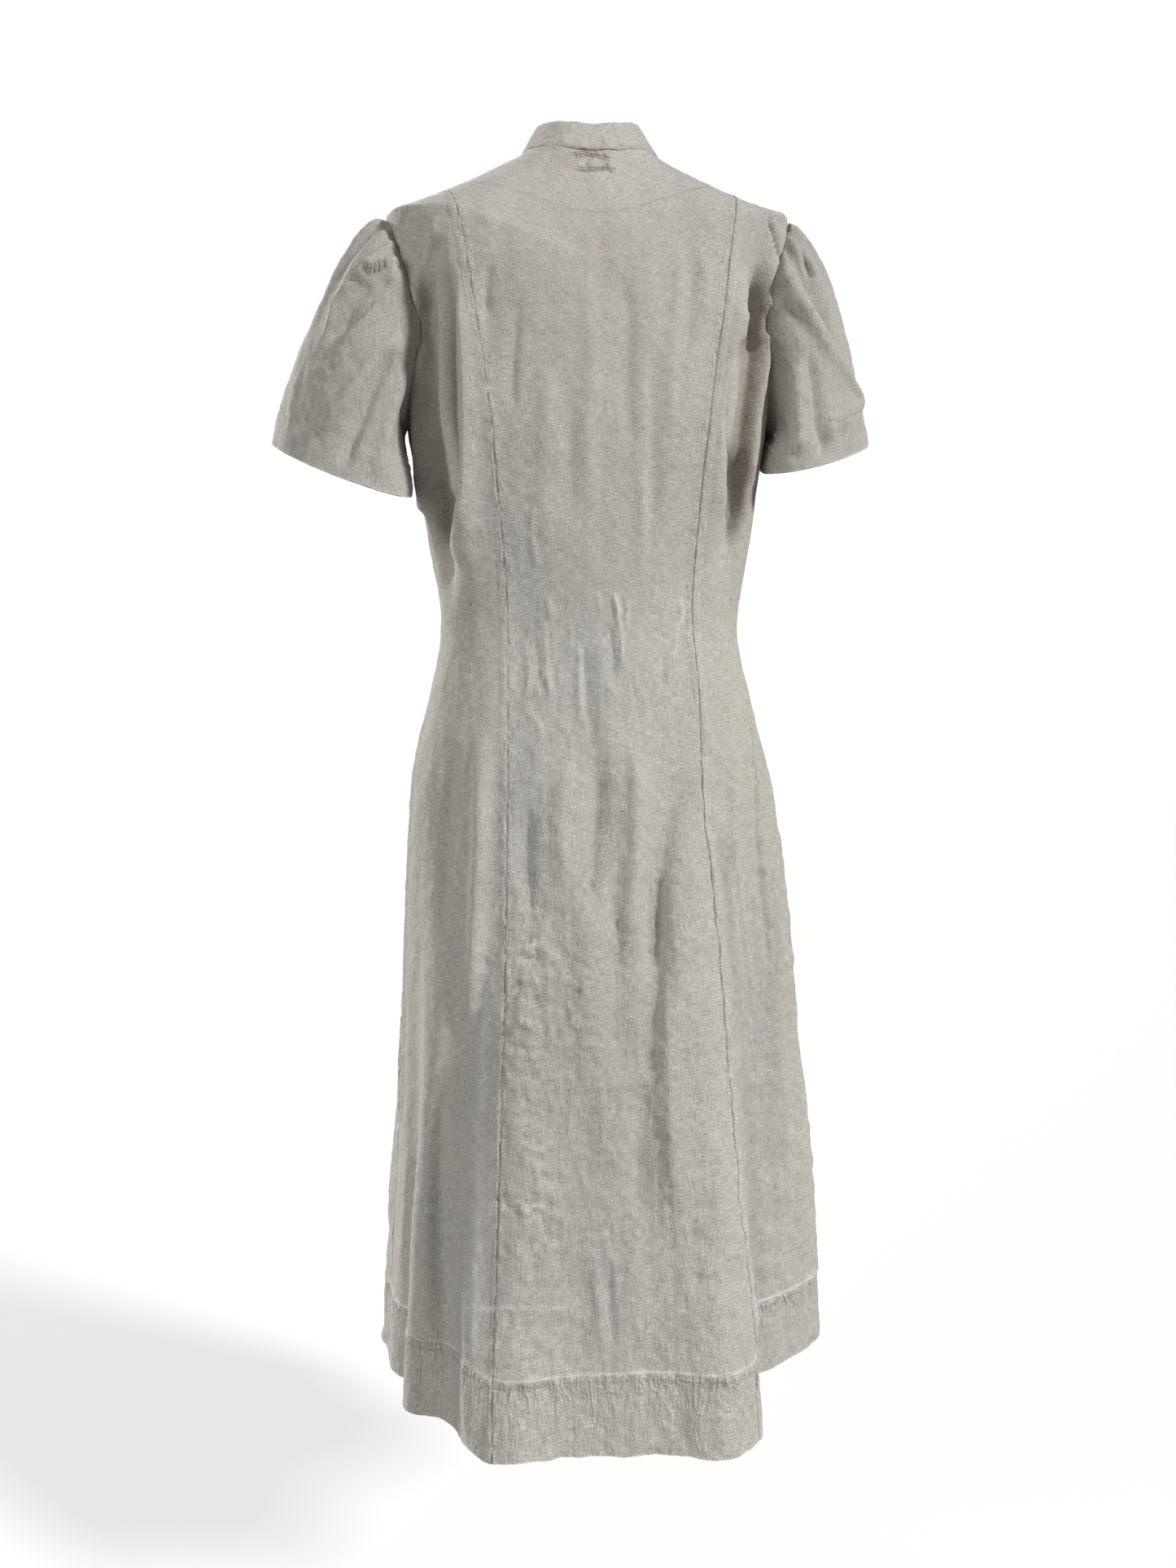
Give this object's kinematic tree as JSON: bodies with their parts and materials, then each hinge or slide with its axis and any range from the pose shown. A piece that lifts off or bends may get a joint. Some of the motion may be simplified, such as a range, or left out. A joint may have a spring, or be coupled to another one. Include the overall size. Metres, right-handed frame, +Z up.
{
  "type": "uniform smock dress",
  "caption": "Short-sleeved band-collar smock dress in worn form, with princess seams, a flared skirt and a buttoned front; hollow thin cloth walls",
  "frame": {"origin": "the middle of the neck, level with the points where the neck seam meets the shoulder seams, where the wearer's shoulders hold the dress", "axes": "+Z up, front faces -Y, wearer's left is +X"},
  "size_m": [0.6126, 0.4247, 1.2241],
  "materials": {
    "back_center": "matte plain-weave linen",
    "back_side_left": "matte plain-weave linen",
    "back_side_right": "matte plain-weave linen",
    "front_left": "matte plain-weave linen",
    "front_right": "matte plain-weave linen",
    "front_side_left": "matte plain-weave linen",
    "front_side_right": "matte plain-weave linen",
    "sleeve_left": "matte plain-weave linen",
    "sleeve_right": "matte plain-weave linen",
    "collar_band": "matte plain-weave linen",
    "front_button_01": "satin dark plastic",
    "front_button_02": "satin dark plastic",
    "front_button_03": "satin dark plastic",
    "front_button_04": "satin dark plastic",
    "front_button_05": "satin dark plastic",
    "front_button_06": "satin dark plastic",
    "front_button_07": "satin dark plastic",
    "front_button_08": "satin dark plastic",
    "front_button_09": "satin dark plastic",
    "front_button_10": "satin dark plastic",
    "hip_button": "satin dark plastic"
  },
  "bodies": {
    "root": {"back_center": "back_center", "back_side_left": "back_side_left", "back_side_right": "back_side_right", "front_left": "front_left", "front_right": "front_right", "front_side_left": "front_side_left", "front_side_right": "front_side_right", "sleeve_left": "sleeve_left", "sleeve_right": "sleeve_right", "collar_band": "collar_band", "front_button_01": "front_button_01", "front_button_02": "front_button_02", "front_button_03": "front_button_03", "front_button_04": "front_button_04", "front_button_05": "front_button_05", "front_button_06": "front_button_06", "front_button_07": "front_button_07", "front_button_08": "front_button_08", "front_button_09": "front_button_09", "front_button_10": "front_button_10", "hip_button": "hip_button"}
  },
  "joints": []
}
